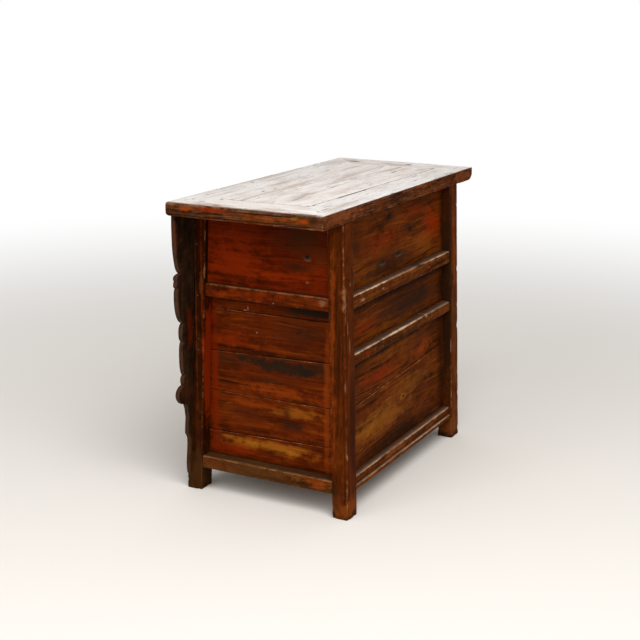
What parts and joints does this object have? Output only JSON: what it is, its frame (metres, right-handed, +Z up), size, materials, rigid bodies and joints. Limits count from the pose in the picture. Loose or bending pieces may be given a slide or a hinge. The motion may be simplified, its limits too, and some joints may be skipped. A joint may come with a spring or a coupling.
{
  "type": "coffer dresser",
  "caption": "Low East Asian coffer dresser in lacquered wood: overhanging framed top, splayed legs, scalloped wing boards, panelled sides and back, drawers over pivoting doors.",
  "frame": {"origin": "on the floor, under the middle of the piece", "axes": "+X to the right as seen from the front, +Y to the back, +Z up; the drawers and doors face -Y"},
  "size_m": [0.998, 0.514, 0.84],
  "materials": {
    "wood_top": "worn lacquer, pale on the upper face",
    "wood_frame": "satin red-brown lacquer, rubbed at the edges",
    "wood_panel": "satin orange-red lacquer over open grain",
    "wood_wing": "dark satin lacquer",
    "wood_inside": "bare, dry wood",
    "pull_metal": "aged"
  },
  "bodies": {
    "case": {"top_stile_front": "wood_top", "top_stile_back": "wood_top", "top_end_right": "wood_top", "top_end_left": "wood_top", "top_panel": "wood_top", "top_batten_right": "wood_inside", "top_batten_left": "wood_inside", "leg_front_right": "wood_frame", "leg_front_left": "wood_frame", "leg_back_right": "wood_frame", "leg_back_left": "wood_frame", "side_bottom_rail_right": "wood_frame", "side_bottom_rail_left": "wood_frame", "side_mid_rail_right": "wood_frame", "side_mid_rail_left": "wood_frame", "side_upper_panel_right": "wood_panel", "side_upper_panel_left": "wood_panel", "side_lower_panel_right": "wood_panel", "side_lower_panel_left": "wood_panel", "back_bottom_rail": "wood_frame", "back_shelf_rail": "wood_frame", "back_mid_rail": "wood_frame", "back_lower_panel": "wood_panel", "back_middle_panel": "wood_panel", "back_upper_panel": "wood_panel", "front_bottom_rail": "wood_frame", "front_mid_rail": "wood_frame", "front_top_rail": "wood_frame", "drawer_divider": "wood_frame", "wing_right": "wood_wing", "wing_left": "wood_wing", "floor_board": "wood_inside", "shelf": "wood_inside", "shelf_bearer_right": "wood_inside", "shelf_bearer_left": "wood_inside", "drawer_runner_right": "wood_inside", "drawer_runner_centre": "wood_inside", "drawer_runner_left": "wood_inside"},
    "drawer_right": {"drawer_right_front": "wood_frame", "drawer_right_inner_side": "wood_inside", "drawer_right_outer_side": "wood_inside", "drawer_right_back": "wood_inside", "drawer_right_bottom": "wood_inside", "drawer_right_pull_plate": "pull_metal"},
    "drawer_left": {"drawer_left_front": "wood_frame", "drawer_left_inner_side": "wood_inside", "drawer_left_outer_side": "wood_inside", "drawer_left_back": "wood_inside", "drawer_left_bottom": "wood_inside", "drawer_left_pull_plate": "pull_metal"},
    "door_right": {"door_right_board": "wood_panel", "door_right_pull_plate": "pull_metal"},
    "door_left": {"door_left_board": "wood_panel", "door_left_pull_plate": "pull_metal"},
    "drawer_right_bail": {"drawer_right_pull_bail": "pull_metal"},
    "drawer_left_bail": {"drawer_left_pull_bail": "pull_metal"},
    "door_right_bail": {"door_right_pull_bail": "pull_metal"},
    "door_left_bail": {"door_left_pull_bail": "pull_metal"}
  },
  "joints": [
    {"name": "drawer_right_slide", "type": "slide", "parent": "case", "child": "drawer_right", "axis": [0, -1, 0], "range_m": [0, 0.3]},
    {"name": "drawer_left_slide", "type": "slide", "parent": "case", "child": "drawer_left", "axis": [0, -1, 0], "range_m": [0, 0.3]},
    {"name": "door_right_turn", "type": "hinge", "parent": "case", "child": "door_right", "pos_m": [0.32476, -0.23659, 0.105], "axis": [-0.0118, 0.0324, 0.9994], "range_deg": [0, 90]},
    {"name": "door_left_turn", "type": "hinge", "parent": "case", "child": "door_left", "pos_m": [-0.32476, -0.23659, 0.105], "axis": [-0.0118, -0.0324, -0.9994], "range_deg": [0, 90]},
    {"name": "drawer_right_bail_swing", "type": "hinge", "parent": "drawer_right", "child": "drawer_right_bail", "pos_m": [0.17343, -0.23789, 0.69384], "axis": [-1, 0, 0], "range_deg": [0, 85]},
    {"name": "drawer_left_bail_swing", "type": "hinge", "parent": "drawer_left", "child": "drawer_left_bail", "pos_m": [-0.17343, -0.23789, 0.69384], "axis": [-1, 0, 0], "range_deg": [0, 85]},
    {"name": "door_right_bail_swing", "type": "hinge", "parent": "door_right", "child": "door_right_bail", "pos_m": [0.046, -0.24672, 0.36024], "axis": [-1, 0, 0], "range_deg": [0, 85]},
    {"name": "door_left_bail_swing", "type": "hinge", "parent": "door_left", "child": "door_left_bail", "pos_m": [-0.046, -0.24672, 0.36024], "axis": [-1, 0, 0], "range_deg": [0, 85]}
  ]
}
